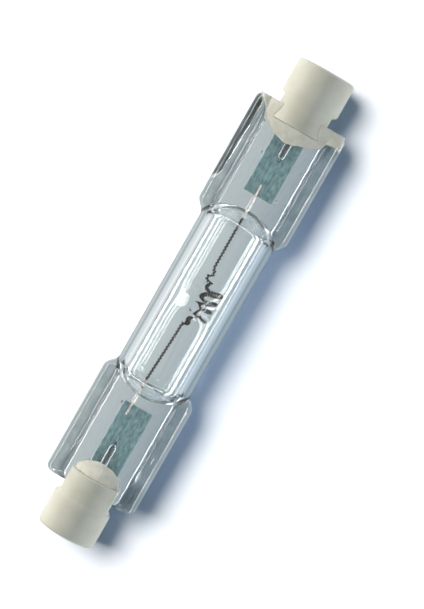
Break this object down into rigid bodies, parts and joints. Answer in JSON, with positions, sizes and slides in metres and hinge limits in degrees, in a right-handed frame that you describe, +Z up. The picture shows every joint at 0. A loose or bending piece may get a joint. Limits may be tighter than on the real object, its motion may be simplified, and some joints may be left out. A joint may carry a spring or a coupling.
{
  "type": "linear halogen bulb",
  "caption": "Short double-ended linear halogen bulb: clear quartz tube with a coiled filament, flat pinch seals with metal foils, and ceramic caps with recessed contacts.",
  "frame": {"origin": "on the surface it lies on, under the middle of the lamp", "axes": "+X along the lamp, +Y across the flat pinch seals, +Z up, at right angles to the pinch seals, on the side of the exhaust tip"},
  "size_m": [0.0782, 0.0148, 0.0129],
  "materials": {
    "quartz": "clear fused quartz, fire polished",
    "tungsten": "drawn tungsten wire, dark",
    "lead_wire": "drawn molybdenum wire, dark",
    "molybdenum_foil": "rolled thin foil, grey-green in the glass",
    "steatite": "fired, unglazed, cream",
    "contact_metal": "nickel plated",
    "cement": "set lamp cement, matt"
  },
  "bodies": {
    "root": {"quartz_envelope": "quartz", "coiled_filament": "tungsten", "left_inner_lead": "lead_wire", "left_foil": "molybdenum_foil", "left_outer_lead": "lead_wire", "left_ceramic_cap": "steatite", "left_contact_button": "contact_metal", "left_cement": "cement", "right_inner_lead": "lead_wire", "right_foil": "molybdenum_foil", "right_outer_lead": "lead_wire", "right_ceramic_cap": "steatite", "right_contact_button": "contact_metal", "right_cement": "cement"}
  },
  "joints": []
}
